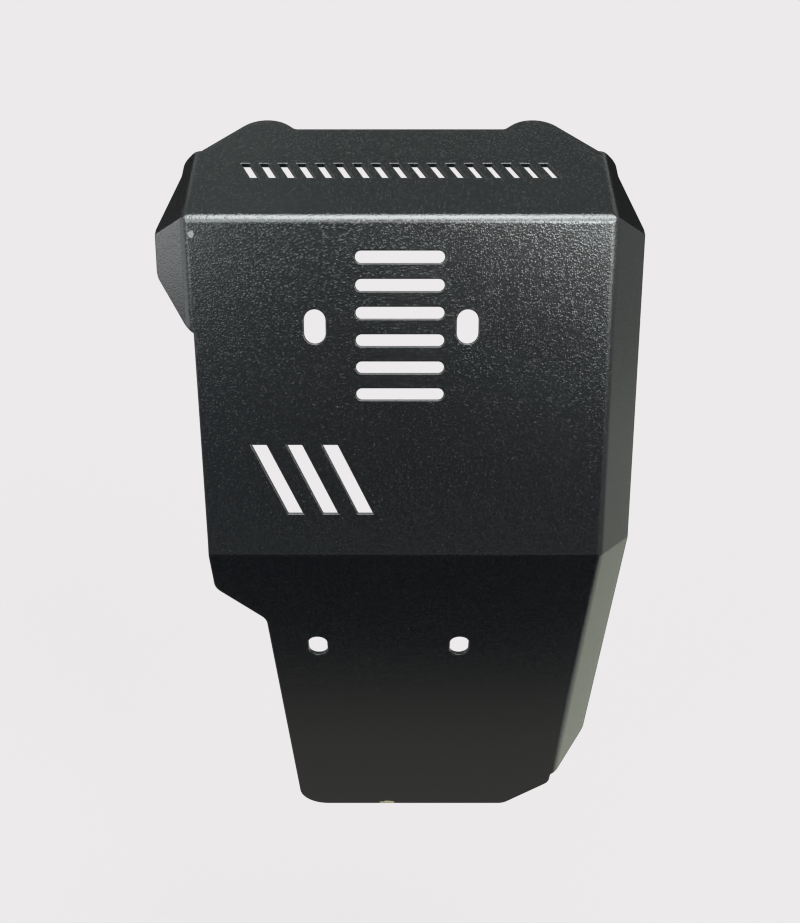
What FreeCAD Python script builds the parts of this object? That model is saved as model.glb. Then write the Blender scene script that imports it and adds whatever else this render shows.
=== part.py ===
import FreeCAD, Part
import math
import os

# A motorcycle engine guard: one steel sheet, cut to shape and folded. Sizes in millimetres, angles in degrees.
# The front panel stands upright with its inner face at y = 0 and its outside towards -y.
# The origin is on that inner face, on the centre line, at the height of the upper bolt slots.
# The top panel and the lower panel lean back from the front panel, and so do all the side flanges.

Vec = FreeCAD.Vector

# sheet and folds
sheet = 2.0
bend_inside = 3.6
top_fold = 50.0
lower_fold = 29.0
side_fold = 45.0

# panels, measured on the outside to the sharp corners that the folds round off
half_width = 85.5
front_above = 42.8
front_below = 97.2
lower_length = 213.0
flange = 21.0

# upper edge of the top panel: a straight middle and two rounded ears, then a slant down to each shoulder
top_straight = 57.8
ear_start = 45.0
ear_x = 57.6
ear_tip = 70.3
ear_round = 13.5
shoulder = 42.5
shoulder_flange = 8.0
shoulder_drop = 9.7
rim_slant = 30.0
rim_corner = 3.0

# left side: a short wing on the front panel, a free edge below it and a step in on the lower panel
wing_end = 19.3
wing_low = -2.8
wing_round = 6.0
free_edge_low = 81.6
step_start = 21.2
step_end = 43.2
step_x = 61.0
step_round = 8.0
foot_left = 56.0
foot_round = 15.0

# right side: the lower flange stops short of the cut corner, at these distances from the lower edge
lower_flange_end = 56.0
relief = 32.0
lower_flange_round = 8.0
foot_cut = 23.8
foot_cut_round = 7.0

# bolt slots for M8 screws
slot_width = 9.0
slot_length = 14.0
upper_slots = (-34.4, 27.3)
lower_slots = (-38.6, 27.9)
lower_slot_row = 63.3

# three slanted slots on the front panel
stripe_count = 3
stripe_left = -61.8
stripe_pitch = 14.75
stripe_width = 6.5
stripe_top = -48.7
stripe_height = 29.8
stripe_lean = 14.6

# a stack of vent slots in the middle of the front panel, half above and half below the bolt slots
vent_count = 6
vent_pitch = 11.0
vent_width = 5.0
vent_length = 36.0

# a row of slanted vent slots on the top panel
row_count = 17
row_pitch = 7.7
row_width = 3.6
row_low = 24.6
row_height = 9.4
row_lean = 4.6

# solids that are drawn too large and cut back reach well past the whole guard, and cuts well past one sheet
reach = 2 * (ear_tip + front_above + front_below + lower_length)
cut_depth = 4 * sheet

# a side fold bends between two lines this far from its sharp corner, the far one as seen square to the flange
bend_run = (bend_inside + sheet) * math.tan(math.radians(side_fold / 2))
bend_far = bend_run * math.cos(math.radians(side_fold))
flat_half = half_width - bend_run

across = Vec(1, 0, 0)
up = Vec(0, 0, 1)
down = Vec(0, 0, -1)
back = Vec(0, 1, 0)


def leaning(angle, start):
    """Direction that leaves `start` and leans back by `angle`."""
    turn = math.radians(angle)
    return start * math.cos(turn) + back * math.sin(turn)


def folded(behind, side):
    """Direction of a side flange, for the panel whose inner side looks along `behind`."""
    turn = math.radians(side_fold)
    return across * (side * math.cos(turn)) + behind * math.sin(turn)


top_run = leaning(top_fold, up)
lower_run = leaning(lower_fold, down)
top_behind = across.cross(top_run) * -1
lower_behind = across.cross(lower_run)

top_corner = Vec(0, -sheet, front_above)
lower_corner = Vec(0, -sheet, -front_below)
front_corner = Vec(0, -sheet, 0)
right = across * half_width
left = across * -half_width


def wedge(corner, along, flat_a, flat_b, skin):
    """Everything inside one rounded fold between two panels, less a layer `skin` thick."""
    inward = flat_a + flat_b
    inward.normalize()
    half = flat_a.getAngle(flat_b) / 2
    radius = bend_inside + sheet
    centre = corner + inward * (radius / math.sin(half))
    share = (radius - skin) / radius
    start = centre + (corner + flat_a * (radius / math.tan(half)) - centre) * share
    end = centre + (corner + flat_b * (radius / math.tan(half)) - centre) * share
    crown = centre - inward * (radius - skin)
    far_a = start + flat_a * reach
    far_b = end + flat_b * reach
    far_back = far_a + flat_b * reach
    edges = [
        Part.LineSegment(far_a, start).toShape(),
        Part.Arc(start, crown, end).toShape(),
        Part.LineSegment(end, far_b).toShape(),
        Part.LineSegment(far_b, far_back).toShape(),
        Part.LineSegment(far_back, far_a).toShape(),
    ]
    face = Part.Face(Part.Wire(edges))
    face.translate(along * -reach)
    return face.extrude(along * (2 * reach))


def body(skin):
    """The convex body under the whole guard, less a layer `skin` thick."""
    folds = [
        (top_corner, across, top_run, down),
        (lower_corner, across, up, lower_run),
        (front_corner + right, up, across * -1, folded(back, 1)),
        (front_corner + left, up, across, folded(back, -1)),
        (top_corner + right, top_run, across * -1, folded(top_behind, 1)),
        (top_corner + left, top_run, across, folded(top_behind, -1)),
        (lower_corner + right, lower_run, across * -1, folded(lower_behind, 1)),
    ]
    solids = [wedge(corner, along, a, b, skin) for corner, along, a, b in folds]
    shape = solids[0]
    for solid in solids[1:]:
        shape = shape.common(solid)
    return shape


def on_panel(origin, x_run, y_run):
    """Placement of a flat drawing on a panel, with its x and y along the two given directions."""
    normal = x_run.cross(y_run)
    rows = [(x_run.x, y_run.x, normal.x, origin.x)]
    rows.append((x_run.y, y_run.y, normal.y, origin.y))
    rows.append((x_run.z, y_run.z, normal.z, origin.z))
    return FreeCAD.Placement(FreeCAD.Matrix(*rows[0], *rows[1], *rows[2], 0, 0, 0, 1))


def outline(corners):
    """Closed outline through corners given as (x, y) or, where the corner is rounded, (x, y, radius)."""
    points = [Vec(c[0], c[1], 0) for c in corners]
    edges = []
    ends = []
    for i, corner in enumerate(corners):
        here = points[i]
        if len(corner) == 2:
            ends.append((here, here))
            continue
        before = (points[i - 1] - here).normalize()
        after = (points[(i + 1) % len(points)] - here).normalize()
        half = before.getAngle(after) / 2
        middle = (before + after).normalize()
        run = corner[2] / math.tan(half)
        crown = here + middle * (corner[2] / math.sin(half) - corner[2])
        ends.append((here + before * run, here + after * run))
        edges.append(Part.Arc(ends[i][0], crown, ends[i][1]).toShape())
    for i in range(len(ends)):
        edges.append(Part.LineSegment(ends[i - 1][1], ends[i][0]).toShape())
    return Part.Wire(Part.__sortEdges__(edges))


def slot(x, y, x_length, y_length):
    """Closed outline of a round-ended slot, centred on (x, y)."""
    radius = min(x_length, y_length) / 2
    run = Vec(x_length / 2 - radius, y_length / 2 - radius, 0)
    end = Vec(run).normalize() * radius
    side = Vec(-end.y, end.x, 0)
    first = Vec(x, y, 0) + run
    last = Vec(x, y, 0) - run
    edges = [
        Part.Arc(first - side, first + end, first + side).toShape(),
        Part.LineSegment(first + side, last + side).toShape(),
        Part.Arc(last + side, last - end, last - side).toShape(),
        Part.LineSegment(last - side, first - side).toShape(),
    ]
    return Part.Wire(edges)


def slanted(x, y, width, height, lean):
    """Closed outline of a slanted slot with level ends, from its upper left corner (x, y)."""
    return outline([(x, y), (x + width, y), (x + width + lean, y - height), (x + lean, y - height)])


def cutter(wire, place, depth):
    """Cutting solid of an outline drawn on a panel, `depth` to each side of the outside face."""
    face = Part.Face(wire)
    face.translate(Vec(0, 0, -depth))
    solid = face.extrude(Vec(0, 0, 2 * depth))
    solid.Placement = place
    return solid


def mirrored(solid):
    return solid.mirror(Vec(0, 0, 0), across)


top_place = on_panel(top_corner, across, top_run)
front_place = on_panel(front_corner, across, up)
lower_place = on_panel(lower_corner, across, lower_run)
top_flange_place = on_panel(top_corner + right, folded(top_behind, 1), top_run)
front_flange_place = on_panel(front_corner + right, folded(back, 1), up)
lower_flange_place = on_panel(lower_corner + right, folded(lower_behind, 1), lower_run)
wing_place = on_panel(front_corner + left, folded(back, -1), up)

# flanges of neighbouring panels meet in the plane that halves the angle between the panels
top_seam = (back + top_behind).normalize()
lower_seam = (back + lower_behind).normalize()


def zone(corner, seam, away):
    """The space on one side of a seam plane, on the side that `away` points to."""
    near = corner - seam * reach
    far = corner + seam * reach
    points = [near, far, far + away * reach, near + away * reach, near]
    solid = Part.Face(Part.makePolygon(points)).extrude(across * (2 * reach))
    solid.translate(across * -reach)
    return solid


top_zone = zone(top_corner, top_seam, up)
lower_zone = zone(lower_corner, lower_seam, down)

half_top = [
    (ear_start, top_straight, rim_corner),
    (ear_x, ear_tip, ear_round),
    (flat_half, shoulder),
    (reach, shoulder),
    (reach, reach),
]
top_edge = half_top + [(-c[0], *c[1:]) for c in reversed(half_top)]

shoulder_low = shoulder - shoulder_drop
rim_low = shoulder_low - (flange - shoulder_flange) / math.tan(math.radians(rim_slant))
top_flange_edge = [
    (flange, -reach),
    (flange, rim_low, rim_corner),
    (shoulder_flange, shoulder_low, rim_corner),
    (shoulder_flange, shoulder, rim_corner),
    (bend_run, shoulder),
    (bend_run, reach),
    (reach, reach),
    (reach, -reach),
]

front_flange_edge = [
    (flange, -reach),
    (reach, -reach),
    (reach, reach),
    (flange, reach),
]

# the lower edge of the wing slants down across the bend to the free edge of the front panel
wing_edge = [
    (flange, reach),
    (flange, wing_end, wing_round),
    (-bend_far, wing_low),
    (bend_run, wing_low),
    (bend_run, -front_below),
    (reach, -front_below),
    (reach, reach),
]

free_edge = [
    (-flat_half, wing_low),
    (-free_edge_low, bend_inside + sheet - front_below),
    (-free_edge_low, -front_below - sheet),
    (-reach, -front_below - sheet),
    (-reach, wing_low),
]

# the end of the lower flange slants down across the bend too, to the edge of the lower panel
lower_flange_edge = [
    (flange, -reach),
    (flange, lower_length - lower_flange_end, lower_flange_round),
    (-bend_far, lower_length - relief),
    (bend_run, lower_length - relief),
    (bend_run, reach),
    (reach, reach),
    (reach, -reach),
]

lower_edge = [
    (-free_edge_low, 0),
    (-free_edge_low, step_start, step_round),
    (-step_x, step_end, step_round),
    (-foot_left, lower_length, foot_round),
    (flat_half - foot_cut, lower_length, foot_cut_round),
    (flat_half, lower_length - foot_cut, foot_cut_round),
    (flat_half, lower_length - relief),
    (reach, lower_length - relief),
    (reach, reach),
    (-reach, reach),
    (-reach, 0),
]

# the folded shell, with its free edges still too long
block = Part.makeBox(
    2 * (half_width + flange),
    lower_length,
    ear_tip + front_above + front_below + lower_length,
    Vec(-half_width - flange, -2 * sheet, -front_below - lower_length),
)
shell = block.common(body(0)).cut(body(sheet))

# the free edges
top_flange_cut = cutter(outline(top_flange_edge), top_flange_place, cut_depth).common(top_zone)
shell = shell.cut([
    cutter(outline(top_edge), top_place, reach),
    top_flange_cut,
    mirrored(top_flange_cut),
    cutter(outline(front_flange_edge), front_flange_place, cut_depth).cut([top_zone, lower_zone]),
    cutter(outline(wing_edge), wing_place, cut_depth).cut([top_zone, lower_zone]),
    cutter(outline(lower_flange_edge), lower_flange_place, cut_depth).common(lower_zone),
    cutter(outline(free_edge), front_place, cut_depth),
    cutter(outline(lower_edge), lower_place, reach),
])

# the bolt slots, the slanted slots and the vents
holes = []
for x in upper_slots:
    holes.append(cutter(slot(x, 0, slot_width, slot_length), front_place, cut_depth))
for x in lower_slots:
    holes.append(cutter(slot(x, lower_slot_row, slot_width, slot_length), lower_place, cut_depth))
for i in range(stripe_count):
    x = stripe_left + i * stripe_pitch
    wire = slanted(x, stripe_top, stripe_width, stripe_height, stripe_lean)
    holes.append(cutter(wire, front_place, cut_depth))
for i in range(vent_count):
    wire = slot(0, (i - (vent_count - 1) / 2) * vent_pitch, vent_length, vent_width)
    holes.append(cutter(wire, front_place, cut_depth))
for i in range(row_count):
    x = (i - (row_count - 1) / 2) * row_pitch - (row_width + row_lean) / 2
    wire = slanted(x, row_low + row_height, row_width, row_height, row_lean)
    holes.append(cutter(wire, top_place, cut_depth))
guard = shell.cut(holes).removeSplitter()

os.makedirs("parts", exist_ok=True)
guard.exportStep("parts/guard_plate.step")

# kilograms in a cubic millimetre of steel
steel = 7.85e-6
box = guard.BoundBox
print("solids", len(guard.Solids), "valid", guard.isValid(), "faces", len(guard.Faces))
print("size", round(box.XLength, 1), round(box.YLength, 1), round(box.ZLength, 1))
print("volume cm3", round(guard.Volume / 1000, 1), "mass kg", round(guard.Volume * steel, 3))
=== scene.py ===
# %% [markdown]
# # An engine guard in black powder coat
# The guard is one steel sheet, cut by laser, folded, and sprayed with black powder that is baked on.
# The folded sheet comes from the CAD model, in metres, and stays where it is. This lesson gives it
# rounded edges, a fine-grained black coat with a small chip and a pale yellow spot, and a small studio
# to stand in.

import math

import bmesh
import bpy
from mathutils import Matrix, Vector


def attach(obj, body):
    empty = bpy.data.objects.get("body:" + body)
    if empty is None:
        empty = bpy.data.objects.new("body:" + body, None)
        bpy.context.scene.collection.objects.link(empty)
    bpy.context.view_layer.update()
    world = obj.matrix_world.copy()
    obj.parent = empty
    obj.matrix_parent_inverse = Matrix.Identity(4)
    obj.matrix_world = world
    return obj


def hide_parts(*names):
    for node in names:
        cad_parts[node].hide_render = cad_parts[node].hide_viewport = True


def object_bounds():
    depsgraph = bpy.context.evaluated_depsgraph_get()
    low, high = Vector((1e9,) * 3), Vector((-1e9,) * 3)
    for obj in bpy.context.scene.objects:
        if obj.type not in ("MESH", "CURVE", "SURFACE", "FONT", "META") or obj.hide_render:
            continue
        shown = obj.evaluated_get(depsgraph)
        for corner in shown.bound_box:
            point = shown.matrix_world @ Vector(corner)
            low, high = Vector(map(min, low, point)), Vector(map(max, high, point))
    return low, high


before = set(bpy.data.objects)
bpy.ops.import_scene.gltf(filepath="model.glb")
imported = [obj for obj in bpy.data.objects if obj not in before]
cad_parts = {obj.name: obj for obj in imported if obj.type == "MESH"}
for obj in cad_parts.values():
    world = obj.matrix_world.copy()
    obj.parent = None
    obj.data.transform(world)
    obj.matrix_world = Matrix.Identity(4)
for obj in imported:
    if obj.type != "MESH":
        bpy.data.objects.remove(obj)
cad_low, cad_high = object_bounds()
folded_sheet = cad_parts["guard_plate"]
print("folded sheet:", len(folded_sheet.data.polygons), "faces, box", cad_low[:], cad_high[:])

# %% [markdown]
# ## Rounded edges
# The edge of a cut sheet is never a knife: it is deburred, and the baked coat rounds it further.
# A Bevel modifier on the CAD mesh could do this, but that mesh is split along every face. So a copy
# is welded, its flat triangles are joined into whole faces, and its sharp edges are rounded by less
# than half a millimetre. The form stays as it was, and each edge catches a thin line of light.

# %% Round the cut edges
weld_distance = 0.00012
flat_turn = math.radians(0.3)
sharp_turn = math.radians(15)
edge_round = 0.00038


def softened(source, name):
    """A copy of a CAD solid with its cut edges rounded."""
    shape = bmesh.new()
    shape.from_mesh(source.data)
    bmesh.ops.remove_doubles(shape, verts=shape.verts, dist=weld_distance)
    bmesh.ops.dissolve_limit(shape, angle_limit=flat_turn, verts=shape.verts, edges=shape.edges)
    sharp = [edge for edge in shape.edges if edge.calc_face_angle(0) > sharp_turn]
    bmesh.ops.bevel(shape, geom=sharp, offset=edge_round, offset_type="OFFSET", segments=3,
                    profile=0.5, affect="EDGES", clamp_overlap=False)
    for face in shape.faces:
        face.smooth = True
    loose = sum(not edge.is_manifold for edge in shape.edges)
    print(name, "has", len(shape.faces), "faces,", len(sharp), "rounded edges and", loose, "open edges")
    mesh = bpy.data.meshes.new(name)
    shape.to_mesh(mesh)
    shape.free()
    if "custom_normal" in mesh.attributes:
        mesh.attributes.remove(mesh.attributes["custom_normal"])
    piece = bpy.data.objects.new(name, mesh)
    bpy.context.scene.collection.objects.link(piece)
    return piece


guard = softened(folded_sheet, "engine_guard")

# %% [markdown]
# ## Flat panels
# Smooth shading on a rounded edge makes the flat panel beside it look dished. The Weighted Normal
# modifier lets the large faces set the direction, so the panels stay flat and only the edges turn.
# The copy then stands for the CAD sheet, which is hidden, and rides on the root body.

# %% Keep the panels flat
flat_shading = guard.modifiers.new("flat panels", "WEIGHTED_NORMAL")
flat_shading.weight = 100
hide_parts("guard_plate")
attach(guard, "root")
print(guard.name, "rides on root and replaces guard_plate")

# %% [markdown]
# ## Helpers for shader trees
# A shader tree can be wired by hand in the editor. In a script it reads better when each node is one
# line: its kind, its settings and its inputs, where an input is a value or the output of a node.

# %% Node helpers


def feed(tree, socket, value):
    """Link a socket to another node's output, or set its value."""
    if isinstance(value, bpy.types.NodeSocket):
        tree.links.new(value, socket)
    else:
        socket.default_value = value


def add(tree, kind, inputs, **settings):
    """A new node. The keys of `inputs` are the names or the numbers of its sockets."""
    node = tree.nodes.new(kind)
    for key, value in settings.items():
        setattr(node, key, value)
    for key, value in inputs.items():
        feed(tree, node.inputs[key], value)
    return node


def maths(tree, operation, a, b=0.0):
    """The result of one sum."""
    return add(tree, "ShaderNodeMath", {0: a, 1: b}, operation=operation).outputs[0]


def new_group(name, inputs, outputs):
    """An empty node group with named sockets, and the outputs of its first node."""
    tree = bpy.data.node_groups.new(name, "ShaderNodeTree")
    for label, kind, value in inputs:
        socket = tree.interface.new_socket(label, in_out="INPUT", socket_type=kind)
        socket.default_value = value
    for label in outputs:
        tree.interface.new_socket(label, in_out="OUTPUT", socket_type="NodeSocketFloat")
    return tree, tree.nodes.new("NodeGroupInput").outputs, tree.nodes.new("NodeGroupOutput").inputs


# %% [markdown]
# ## Grain
# This powder bakes to a fine, sandy skin: low round grains a little under a millimetre apart, some
# higher than others. Plain noise would give wrinkles, so a Voronoi texture gives the grains instead:
# each cell holds one dome, and the random colour of the cell says how high it stands.
# A wide, weak noise adds the waves that powder leaves when it melts and flows.

# %% Grain of the coat
dome_reach = 0.7
least_height = 0.3
waves_per_grain = 0.2

grain, start, end = new_group(
    "coat grain",
    [
        ("Place", "NodeSocketVector", (0, 0, 0)),
        ("Grains per metre", "NodeSocketFloat", 1400.0),
        ("Waves", "NodeSocketFloat", 0.5),
    ],
    ["Height", "Tone"],
)
cells = add(grain, "ShaderNodeTexVoronoi", {"Vector": start["Place"], "Scale": start["Grains per metre"]})
dome = add(grain, "ShaderNodeMapRange", {0: cells.outputs["Distance"], 1: dome_reach, 2: 0.0},
           interpolation_type="SMOOTHSTEP").outputs[0]
luck = add(grain, "ShaderNodeSeparateColor", {0: cells.outputs["Color"]})
tall = maths(grain, "MULTIPLY", dome, maths(grain, "ADD", luck.outputs[0], least_height))
wave_scale = maths(grain, "MULTIPLY", start["Grains per metre"], waves_per_grain)
wave = add(grain, "ShaderNodeTexNoise", {"Vector": start["Place"], "Scale": wave_scale, "Detail": 0.0})
waves = maths(grain, "MULTIPLY", wave.outputs[0], start["Waves"])
feed(grain, end["Height"], maths(grain, "ADD", tall, waves))
feed(grain, end["Tone"], dome)
print("group", grain.name, "has", len(grain.nodes), "nodes")

# %% [markdown]
# ## Dust and glints
# A few pale specks lie on the coat: partly dust, partly painted glints. Painting them would need a
# picture, so a Voronoi texture cuts space into cells instead, a small share of the cells is chosen by
# their random colour, and each chosen cell gets one speck of its own size.

# %% Specks of dust and painted glints
least_size = 0.5

dust_and_glints, start, end = new_group(
    "dust and glint specks",
    [
        ("Place", "NodeSocketVector", (0, 0, 0)),
        ("Cells per metre", "NodeSocketFloat", 260.0),
        ("Share", "NodeSocketFloat", 0.08),
        ("Size", "NodeSocketFloat", 0.06),
    ],
    ["Mask"],
)
cells = add(dust_and_glints, "ShaderNodeTexVoronoi", {"Vector": start["Place"], "Scale": start["Cells per metre"]})
luck = add(dust_and_glints, "ShaderNodeSeparateColor", {0: cells.outputs["Color"]})
chosen = maths(dust_and_glints, "LESS_THAN", luck.outputs[0], start["Share"])
speck = maths(dust_and_glints, "MULTIPLY", start["Size"], maths(dust_and_glints, "ADD", luck.outputs[1], least_size))
near = maths(dust_and_glints, "LESS_THAN", cells.outputs["Distance"], speck)
feed(dust_and_glints, end["Mask"], maths(dust_and_glints, "MULTIPLY", chosen, near))
print("group", dust_and_glints.name, "has", len(dust_and_glints.nodes), "nodes")

# %% [markdown]
# ## Chips and a spot
# Where a stone or a tool has hit it, the coat breaks off in a small ragged flake. The chip could be
# cut into the mesh, but it is thinner than the coat, so a mask is enough: the distance from the
# chip's middle, measured in units of its own reach, and made ragged with noise. The same mask also
# makes a pale yellow spot on the lower edge.

# %% Chip and spot mask
ragged_scale = 900.0
rim_outside = 1.45
rim_inside = 1.3

chip, start, end = new_group(
    "coat chip and spot",
    [
        ("Place", "NodeSocketVector", (0, 0, 0)),
        ("Middle", "NodeSocketVector", (0, 0, 0)),
        ("Reach", "NodeSocketVector", (0.001, 0.001, 0.001)),
    ],
    ["Mask"],
)
offset = add(chip, "ShaderNodeVectorMath", {0: start["Place"], 1: start["Middle"]}, operation="SUBTRACT")
scaled = add(chip, "ShaderNodeVectorMath", {0: offset.outputs[0], 1: start["Reach"]}, operation="DIVIDE")
away = add(chip, "ShaderNodeVectorMath", {0: scaled.outputs[0]}, operation="LENGTH")
ragged = add(chip, "ShaderNodeTexNoise", {"Vector": start["Place"], "Scale": ragged_scale, "Detail": 2.0})
reached = maths(chip, "ADD", away.outputs["Value"], ragged.outputs[0])
rim = {0: reached, 1: rim_outside, 2: rim_inside}
mask = add(chip, "ShaderNodeMapRange", rim, interpolation_type="SMOOTHSTEP")
feed(chip, end["Mask"], mask.outputs[0])
print("group", chip.name, "has", len(chip.nodes), "nodes")

# %% [markdown]
# ## Colour of the coat
# Black powder coat is close to black by itself: most of what is seen of it is gloss. So the base colour
# is very dark. It is painted a little paler on the grain tops and darker in the gaps between them:
# painted sheen on the tops and painted shade in the gaps. Pale specks are laid over it, partly dust and
# partly painted glints. The grey chip at the upper left of the front panel and a pale yellow spot on the
# lower edge use the same group, each with its own middle and reach.

# %% Black powder coat
coat_dark = (0.0035, 0.0040, 0.0045, 1)
# Painted sheen: the grain tops are painted paler than the gaps, whose darker colour is painted shade.
painted_grain_sheen = (0.0130, 0.0135, 0.0140, 1)
# Pale specks: partly dust, partly painted glints.
dust_and_glint_colour = (0.09, 0.09, 0.085, 1)
front_chip_colour = (0.21, 0.22, 0.21, 1)
# A pale yellow spot on the lower edge.
foot_spot_colour = (0.60, 0.56, 0.32, 1)
front_chip_place = {"Middle": (-0.0823, -0.002, 0.0363), "Reach": (0.0013, 0.003, 0.0017)}
foot_spot_place = {"Middle": (-0.0070, 0.101, -0.2836), "Reach": (0.0053, 0.004, 0.0027)}

coat = bpy.data.materials.new("black powder coat")
coat.use_nodes = True
tree = coat.node_tree
shader = tree.nodes["Principled BSDF"]
place = add(tree, "ShaderNodeTexCoord", {}).outputs["Object"]


def use(tree, group, inputs):
    """One use of a node group, as the outputs of its node."""
    return add(tree, "ShaderNodeGroup", inputs, node_tree=group).outputs


def over(tree, below, colour, mask):
    """A colour laid over another where the mask is 1."""
    return add(tree, "ShaderNodeMix", {0: mask, 6: below, 7: colour}, data_type="RGBA").outputs[2]


grains = use(tree, grain, {"Place": place, "Grains per metre": 1400.0, "Waves": 0.3})
specks = use(tree, dust_and_glints, {"Place": place})["Mask"]
front_chip = use(tree, chip, dict(front_chip_place, Place=place))["Mask"]
foot_spot = use(tree, chip, dict(foot_spot_place, Place=place))["Mask"]
# Painted sheen on the grain tops and painted shade in the gaps between them.
colour = over(tree, coat_dark, painted_grain_sheen, grains["Tone"])
# Pale specks, partly dust and partly painted glints.
colour = over(tree, colour, dust_and_glint_colour, specks)
colour = over(tree, colour, front_chip_colour, front_chip)
colour = over(tree, colour, foot_spot_colour, foot_spot)
feed(tree, shader.inputs["Base Color"], colour)
guard.data.materials.clear()
guard.data.materials.append(coat)
print("material", coat.name, "is on", guard.name)

# %% [markdown]
# ## Gloss of the coat
# The coat is a hard, fairly glossy skin. The tops of the grains flowed smooth as it baked and the gaps
# between them stayed duller, so the roughness follows the grain. A Bump node tilts each grain, which
# costs far less than modelling a hundred thousand of them. The chip and the pale yellow spot are rougher.

# %% Gloss and grain
gap_roughness = 0.23
grain_roughness = 0.16
chip_and_spot_roughness = 0.3
grain_height = 0.00005
gloss = 0.85

rough = add(tree, "ShaderNodeMapRange", {0: grains["Tone"], 3: gap_roughness, 4: grain_roughness})
chip_and_spot = maths(tree, "MULTIPLY", maths(tree, "ADD", front_chip, foot_spot), chip_and_spot_roughness)
feed(tree, shader.inputs["Roughness"], maths(tree, "ADD", rough.outputs[0], chip_and_spot))
bump = add(tree, "ShaderNodeBump", {"Distance": grain_height, "Height": grains["Height"]})
feed(tree, shader.inputs["Normal"], bump.outputs[0])
shader.inputs["Specular IOR Level"].default_value = gloss
print("material", coat.name, "has", len(tree.nodes), "nodes")

# %% [markdown]
# ## Camera
# The guard is seen from the front, from a little above its bolt slots, with the camera tilted down.
# The position, the tilt and the focal length were worked out from where the corners of the panels
# fall in the picture, so they are written here as numbers.

# %% Camera
focal_pixels = 950.0
picture_height = 923.0
tilt_down = 13.5
camera_place = (0.0, -0.386485, 0.036539)

camera_data = bpy.data.cameras.new("camera")
camera_data.sensor_width = 36.0
camera_data.lens = camera_data.sensor_width * focal_pixels / picture_height
camera = bpy.data.objects.new("camera", camera_data)
camera.location = camera_place
camera.rotation_euler = (math.radians(90.0 - tilt_down), 0, 0)
scene = bpy.context.scene
scene.collection.objects.link(camera)
scene.camera = camera
print("lens", round(camera_data.lens, 2), "mm")

# %% [markdown]
# ## Background
# The picture has a plain, pale background. It could be a backdrop with lamps of its own, but the world
# does it with none: it shows the paper colour to the camera and in reflections, and lights the guard
# only as a dim room does.

# %% Background
paper_shade = (236, 234, 235)
paper = tuple(((c / 255 + 0.055) / 1.055) ** 2.4 for c in paper_shade) + (1,)
room = (0.35, 0.35, 0.36, 1)

scene.view_settings.view_transform = "Standard"
scene.world = bpy.data.worlds.new("studio")
scene.world.use_nodes = True
world_tree = scene.world.node_tree
path = add(world_tree, "ShaderNodeLightPath", {}).outputs
seen = maths(world_tree, "MAXIMUM", path["Is Camera Ray"], path["Is Glossy Ray"])
seen = maths(world_tree, "MAXIMUM", seen, path["Is Transmission Ray"])
feed(world_tree, world_tree.nodes["Background"].inputs["Color"], over(world_tree, room, paper, seen))
print("background", [round(c, 3) for c in paper])

# %% [markdown]
# ## Floor
# The floor is a paper sweep, as in a photo studio: it lies flat below the guard, curves up behind it,
# and so has no visible end. A plain plane would show its far edge as a line. The floor only catches
# the shadow, so the background stays even.

# %% Floor
floor_drop = 0.8
floor_reach = 20.0
floor_roughness = 0.9
flat_end = 4.8
curve_radius = 3.2
curve_steps = 18

pale = bpy.data.materials.new("pale floor")
pale.use_nodes = True
pale.node_tree.nodes["Principled BSDF"].inputs["Base Color"].default_value = paper
pale.node_tree.nodes["Principled BSDF"].inputs["Roughness"].default_value = floor_roughness


def studio_sheet(name, profile, half_width, material):
    """A sheet that belongs to the studio, drawn as a line of (y, z) points and as wide as is asked."""
    shape = bmesh.new()
    left = [shape.verts.new((-half_width, y, z)) for y, z in profile]
    right = [shape.verts.new((half_width, y, z)) for y, z in profile]
    for i in range(len(profile) - 1):
        shape.faces.new((left[i], right[i], right[i + 1], left[i + 1])).smooth = True
    mesh = bpy.data.meshes.new(name)
    shape.to_mesh(mesh)
    shape.free()
    mesh.materials.append(material)
    sheet = bpy.data.objects.new(name, mesh)
    scene.collection.objects.link(sheet)
    return sheet


profile = [(-floor_reach, 0)]
for step in range(curve_steps + 1):
    turn = math.radians(90 * step / curve_steps)
    profile.append((flat_end + curve_radius * math.sin(turn), curve_radius - curve_radius * math.cos(turn)))
floor = studio_sheet("floor", profile, floor_reach, pale)
floor.location.z = cad_low.z - floor_drop
floor.is_shadow_catcher = True
print("floor", floor_drop, "m below the guard, with", len(profile), "points in its line")

# %% [markdown]
# ## Softboxes
# Gloss shows the lamps, so their places matter more than their power. A large softbox hangs above the
# camera, where the rounded fold at the top of the front panel mirrors it as a bright line. Two pairs
# stand left and right of the camera and wake the grain of the front panel, and one at the far left
# lights the wing. Their level is plain: a colour looks about as it is written.

# %% Softboxes
lamp_distance = 1.2
lamp_colour = (0.95, 1.0, 1.01)


def direction(azimuth, elevation):
    """The way from the guard to a lamp, in degrees. Azimuth 0 is the camera's side."""
    turn = math.radians(azimuth)
    rise = math.radians(elevation)
    return Vector((math.sin(turn) * math.cos(rise), -math.cos(turn) * math.cos(rise), math.sin(rise)))


def softbox(name, azimuth, elevation, width, height, glow):
    """A rectangular lamp that faces the guard."""
    way = direction(azimuth, elevation)
    lamp = bpy.data.lights.new(name, "AREA")
    lamp.shape = "RECTANGLE"
    lamp.size = width
    lamp.size_y = height
    lamp.energy = glow * math.pi * width * height
    lamp.color = lamp_colour
    box = bpy.data.objects.new(name, lamp)
    box.location = way * lamp_distance
    box.rotation_euler = way.to_track_quat("Z", "Y").to_euler()
    box.visible_camera = False
    scene.collection.objects.link(box)
    print(name, round(lamp.energy, 1), "W")


softbox("overhead softbox", 2, 57, 0.92, 0.85, 3.6)
softbox("front left softbox", -17, 23, 0.40, 0.36, 3.3)
softbox("front right softbox", 20, 17, 0.46, 0.34, 7.0)
softbox("right softbox", 33, 9, 0.54, 0.44, 6.6)
softbox("left softbox", -27, 10, 0.36, 0.42, 3.8)
softbox("side softbox", -102, 15, 0.80, 0.78, 0.95)

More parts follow.
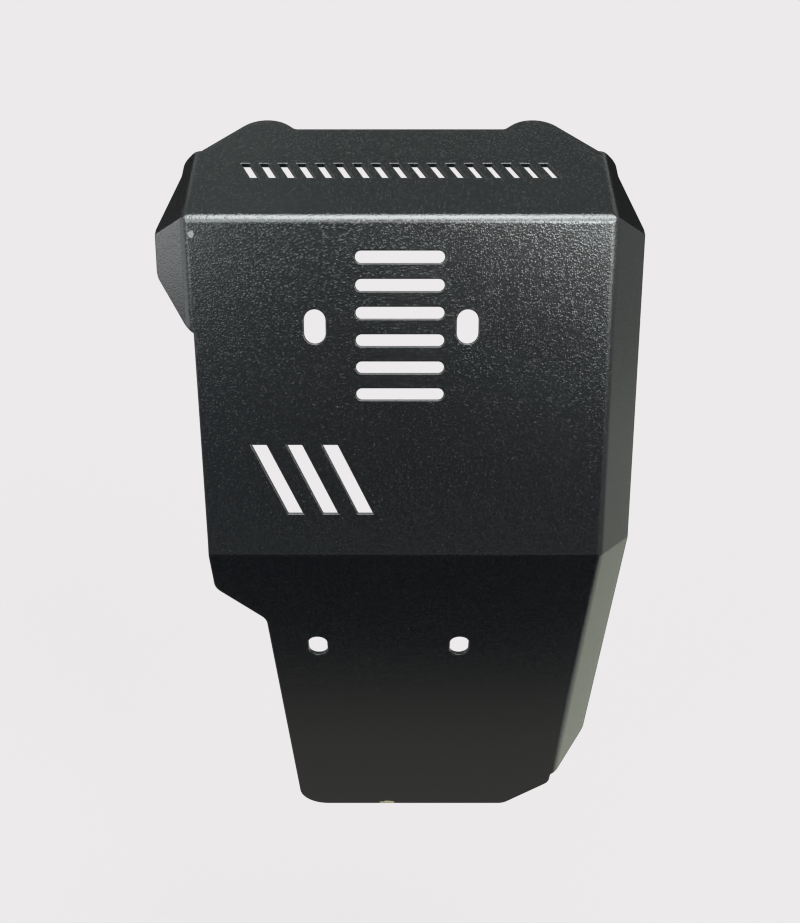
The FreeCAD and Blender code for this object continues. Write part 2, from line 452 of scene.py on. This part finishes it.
# %% [markdown]
# ## Cards
# A black panel is as dark as what it mirrors. Cards, as a product photographer sets them, give each
# panel its own tone: dark ones below, in front and behind, paler ones above the top panel and beside
# the flanges. Two narrow strips stand where only tilted grains mirror them, so they bring out the grain.
# Three bright cards behind softboxes raise the gloss without more light on the guard. Cards show only
# in reflections, so they change no colour.

# %% A card


def card(name, middle, facing, width, height, tone, fade=0.0):
    """A card that shows in reflections alone. It may fade over a distance from its upper and lower edge."""
    paint = bpy.data.materials.new(name)
    paint.use_nodes = True
    tree = paint.node_tree
    glow = add(tree, "ShaderNodeEmission", {"Color": tone + (1,)})
    feed(tree, tree.nodes["Material Output"].inputs["Surface"], glow.outputs[0])
    if fade:
        place = add(tree, "ShaderNodeTexCoord", {}).outputs["Object"]
        along = add(tree, "ShaderNodeSeparateXYZ", {0: place}).outputs["Y"]
        limits = {0: maths(tree, "ABSOLUTE", along), 1: height / 2, 2: height / 2 - fade}
        level = add(tree, "ShaderNodeMapRange", limits, interpolation_type="SMOOTHSTEP")
        feed(tree, glow.inputs["Strength"], level.outputs[0])
    board = studio_sheet(name, [(-height / 2, 0), (height / 2, 0)], width / 2, paint)
    board.visible_camera = False
    board.visible_diffuse = False
    board.visible_shadow = False
    board.location = middle
    board.rotation_euler = Vector(facing).to_track_quat("Z", "Y").to_euler()
    print(name, "is", width, "by", height, "m")


# %% [markdown]
# ## Cards around the guard
# Each card is set one by one, as in a studio: its middle, the way it faces, its width and height in
# metres, and its tone. A tone above 1 is brighter than white paper.

# %% Cards around the guard
below = cad_low.z - 0.12
behind_lamp = lamp_distance + 0.02
overhead = direction(2, 57)
front_left = direction(-17, 22)
front_right = direction(17, 17)

card("front curtain", (0, -1.6, -0.25), (0, 1, 0), 2.6, 1.3, (0.045, 0.052, 0.055))
card("left curtain", (-0.85, -1.55, -0.30), (0, 1, 0), 1.3, 1.2, (0.11, 0.13, 0.15))
card("left corner card", (-1.09, -0.51, 0.10), (0.9, 0.42, 0), 0.7, 0.9, (1.6, 1.75, 1.75))
card("floor card", (0, -0.42, below), (0, 0, 1), 0.9, 0.9, (0.015, 0.02, 0.03))
card("foot card", (0, 0.16, below), (0, 0, 1), 0.3, 0.3, (0.22, 0.215, 0.195))
card("overhead card", overhead * behind_lamp, -overhead, 0.92, 1.45, (6.8, 7.15, 7.2), fade=0.55)
card("front left card", front_left * behind_lamp, -front_left, 0.44, 0.52, (2.4, 2.55, 2.6), fade=0.2)
card("front right card", front_right * behind_lamp, -front_right, 0.50, 0.56, (8.4, 8.75, 8.6), fade=0.25)
card("ceiling", (0.35, 0.38, 1.15), (0, -0.26, -0.96), 1.0, 1.0, (0.19, 0.215, 0.205))
card("left ceiling", (-0.65, 0.38, 1.15), (0, -0.26, -0.96), 1.0, 1.0, (0.29, 0.33, 0.32))
card("back strip", (0, 0.62, 1.0), (0, -0.53, -0.85), 1.6, 0.16, (1.45, 1.55, 1.5))
card("low strip", (0, -0.60, below + 0.01), (0, 0, 1), 1.4, 0.14, (0.6, 0.65, 0.68))
card("right back card", (0.70, 0.89, 0.45), (-0.58, -0.74, -0.33), 1.0, 0.9, (0.02, 0.02, 0.02))
card("left back card", (-0.70, 0.89, 0.45), (0.58, -0.74, -0.33), 1.0, 0.9, (0.03, 0.03, 0.03))
card("right side card", (1.07, 0.25, 0.27), (-0.97, -0.23, 0), 0.9, 0.9, (0.44, 0.47, 0.44))
card("right low card", (1.07, 0.25, -0.60), (-0.97, -0.23, 0), 0.9, 0.84, (0.70, 0.74, 0.67))
card("right foot card", (0.55, 0.56, -0.75), (-0.55, -0.56, 0.62), 1.1, 1.2, (0.77, 0.82, 0.68))
